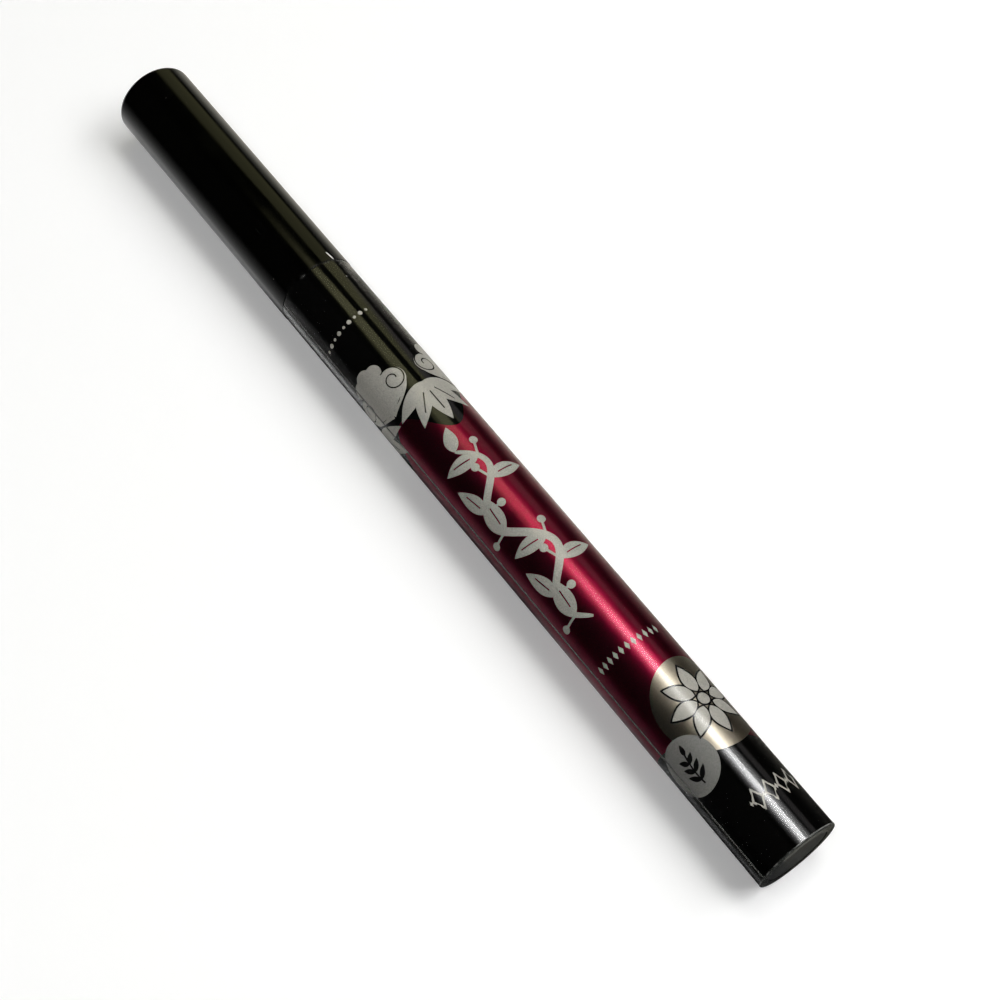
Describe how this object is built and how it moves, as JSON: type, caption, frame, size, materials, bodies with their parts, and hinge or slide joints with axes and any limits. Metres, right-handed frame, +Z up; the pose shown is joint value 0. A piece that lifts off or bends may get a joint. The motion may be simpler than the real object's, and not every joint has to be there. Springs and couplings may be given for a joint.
{
  "type": "liquid eyeliner pen",
  "caption": "Slim round liquid eyeliner pen with a pull-off cap, felt nib, fibre ink reservoir and a foil-coloured barrel in clear film.",
  "frame": {"origin": "middle of the pen's length, on the surface that it lies on", "axes": "+X along the pen from the cap's closed end to the flat tail, +Z up from the surface that it lies on"},
  "size_m": [0.13, 0.0104, 0.0105],
  "materials": {
    "cap_black": "high-gloss black moulding",
    "clear_film": "clear shrunk film, glossy",
    "barrel_foil": "crimson metallic transfer foil between black ends",
    "plug_grey": "dark grey satin moulding",
    "section_black": "black moulding",
    "collar_black": "black moulding",
    "liner_natural": "uncoloured soft moulding",
    "felt": "pressed fibre soaked in black ink",
    "wick_fibre": "bonded fibre rod soaked in ink",
    "inked_fibre": "loose fibre wad soaked in ink",
    "wrap_film": "thin clear film"
  },
  "bodies": {
    "pen": {"shrink_film": "clear_film", "barrel": "barrel_foil", "tail_plug": "plug_grey", "nib_section": "section_black", "nib_collar": "collar_black", "nib": "felt", "feed_wick": "wick_fibre", "ink_reservoir": "inked_fibre", "reservoir_wrap": "wrap_film"},
    "cap": {"cap_shell": "cap_black", "cap_liner": "liner_natural"}
  },
  "joints": [
    {"name": "cap_pull", "type": "slide", "parent": "pen", "child": "cap", "axis": [-1, 0, 0], "range_m": [0, 0.045]}
  ]
}
